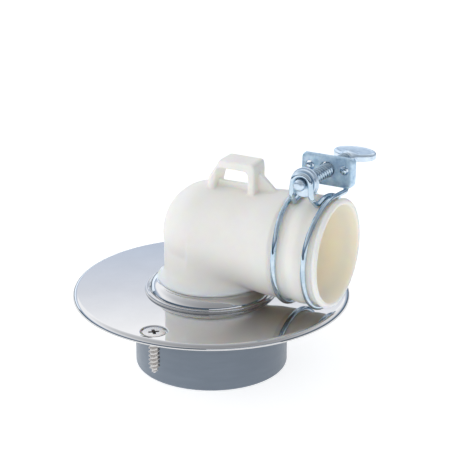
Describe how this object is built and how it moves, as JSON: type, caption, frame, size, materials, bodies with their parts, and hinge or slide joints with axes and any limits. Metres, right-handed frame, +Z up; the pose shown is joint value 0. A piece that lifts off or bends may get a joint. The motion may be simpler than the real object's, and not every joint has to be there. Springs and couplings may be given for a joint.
{
  "type": "floor drain hose outlet",
  "caption": "Floor drain outlet: polished round floor plate, screw-in collar, pipe adapter, swivelling soft elbow with a loop handle, and a wire hose clamp with a thumbscrew.",
  "frame": {"origin": "centre of the pipe adapter's bottom face, on the swivel axis", "axes": "+Z up along the swivel axis, +X out of the elbow's outlet at rest, -Y the side that the clamp's wire hook faces"},
  "size_m": [0.12, 0.12, 0.0984],
  "materials": {
    "polished_steel": "mirror polished stainless",
    "screw_steel": "plain stainless",
    "zinc_plate": "bright zinc plate",
    "soft_pvc": "soft satin cream",
    "grey_pvc": "satin grey",
    "rubber": "matte"
  },
  "bodies": {
    "floor_unit": {"floor_plate": "polished_steel", "collar_ring": "polished_steel", "plate_gasket": "rubber", "pipe_adapter": "grey_pvc", "floor_screw_front": "screw_steel", "floor_screw_back": "screw_steel"},
    "seal": {"elbow_seal": "rubber"},
    "elbow": {"elbow": "soft_pvc"},
    "clamp": {"clamp_wire": "zinc_plate", "clamp_bracket": "zinc_plate"},
    "bush": {"thrust_bush": "zinc_plate"},
    "thumbscrew": {"thumbscrew": "zinc_plate"}
  },
  "joints": [
    {"name": "elbow_lift", "type": "slide", "parent": "floor_unit", "child": "seal", "axis": [0, 0, 1], "range_m": [0, 0.03]},
    {"name": "elbow_swivel", "type": "hinge", "parent": "seal", "child": "elbow", "pos_m": [0, 0, 0.0337], "axis": [0, 0, 1], "continuous": true},
    {"name": "clamp_turn", "type": "hinge", "parent": "elbow", "child": "clamp", "pos_m": [0.0476, 0, 0.0604], "axis": [1, 0, 0], "range_deg": [-45, 90]},
    {"name": "screw_feed", "type": "slide", "parent": "clamp", "child": "bush", "axis": [-0.0175, -0.999, 0.0401], "range_m": [-0.006, 0.004], "deforming": ["clamp_wire"]},
    {"name": "thumbscrew_turn", "type": "hinge", "parent": "bush", "child": "thumbscrew", "pos_m": [0.0476, 0.00126, 0.09177], "axis": [-0.0175, -0.999, 0.0401], "range_deg": [-1080, 720]}
  ],
  "couplings": [
    {"joint": "screw_feed", "follows": "thumbscrew_turn", "m_per_rad": 0.00031831}
  ]
}
